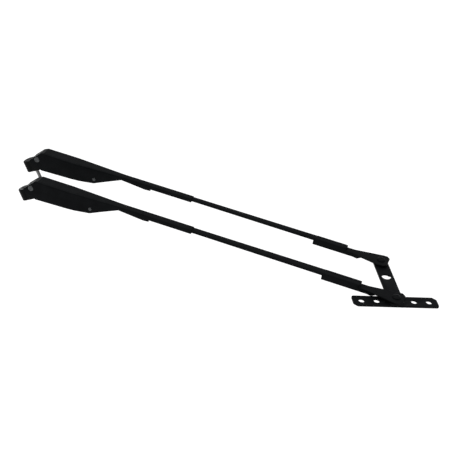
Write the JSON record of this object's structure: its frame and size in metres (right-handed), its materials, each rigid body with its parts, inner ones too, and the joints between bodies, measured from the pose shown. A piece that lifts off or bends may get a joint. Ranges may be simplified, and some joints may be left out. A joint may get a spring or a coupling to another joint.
{
  "type": "pantograph windshield wiper arm",
  "caption": "Pantograph wiper arm pair with sprung folding heads, flat rods, a tip link plate and a drilled blade bar; no blade.",
  "frame": {"origin": "centre of the main spindle bore's mouth, on the underside of the main head", "axes": "+Z away from the glass, +X from the heads to the tips along the arms, +Y from the main arm to the idler arm"},
  "size_m": [0.5607, 0.1063, 0.0546],
  "materials": {
    "head_casting": "satin black paint over a cast surface",
    "cover_paint": "satin black paint",
    "rod_paint": "satin black paint",
    "fitting_paint": "satin black paint",
    "link_paint": "satin black paint",
    "bar_paint": "satin black paint",
    "rivet_paint": "satin black paint over a formed head",
    "pin_zinc": "zinc plated",
    "sleeve_steel": "turned",
    "screw_steel": "black oxide",
    "stud_steel": "turned, oiled",
    "spring_steel": "drawn wire",
    "washer_steel": "plain"
  },
  "bodies": {
    "main_head": {"main_head": "head_casting", "main_spindle_sleeve": "sleeve_steel", "main_set_screw": "screw_steel", "main_head_anchor_pin": "pin_zinc"},
    "main_arm": {"main_cover": "cover_paint", "main_rod": "rod_paint", "main_tip_fitting": "fitting_paint", "main_pivot_pin": "pin_zinc", "main_spring": "spring_steel", "main_spring_pin": "pin_zinc"},
    "tip_link": {"link_plate": "link_paint", "blade_bar": "bar_paint", "bracket_pins": "rivet_paint", "main_tip_rivet": "rivet_paint", "idler_tip_rivet": "rivet_paint", "main_tip_washer": "washer_steel", "idler_tip_washer": "washer_steel"},
    "idler_arm": {"idler_cover": "cover_paint", "idler_rod": "rod_paint", "idler_tip_fitting": "fitting_paint", "idler_pivot_pin": "pin_zinc", "idler_spring": "spring_steel", "idler_spring_pin": "pin_zinc"},
    "idler_head": {"idler_head": "head_casting", "idler_stud": "stud_steel", "idler_head_anchor_pin": "pin_zinc"}
  },
  "joints": [
    {"name": "main_lift", "type": "hinge", "parent": "main_head", "child": "main_arm", "pos_m": [0.00602, 0, 0.02057], "axis": [0, -1, 0], "range_deg": [0, 95], "stiffness_Nm_per_rad": 0.15, "springref_deg": -57.3, "deforming": ["main_spring"]},
    {"name": "link_swing", "type": "hinge", "parent": "main_arm", "child": "tip_link", "pos_m": [0.47012, 0, 0.02057], "axis": [0, 0, 1], "range_deg": [-75, 25]},
    {"name": "idler_swing", "type": "hinge", "parent": "tip_link", "child": "idler_arm", "pos_m": [0.43499, 0.06524, 0.02057], "axis": [0, 0, 1], "range_deg": [-25, 75]},
    {"name": "idler_lift", "type": "hinge", "parent": "idler_arm", "child": "idler_head", "pos_m": [-0.02041, 0.06524, 0.02057], "axis": [0, 1, 0], "range_deg": [0, 95], "stiffness_Nm_per_rad": 0.15, "springref_deg": -57.3, "deforming": ["idler_spring"]}
  ],
  "couplings": [
    {"joint": "idler_swing", "follows": "link_swing", "ratio": -1},
    {"joint": "idler_lift", "follows": "main_lift", "ratio": 1}
  ]
}
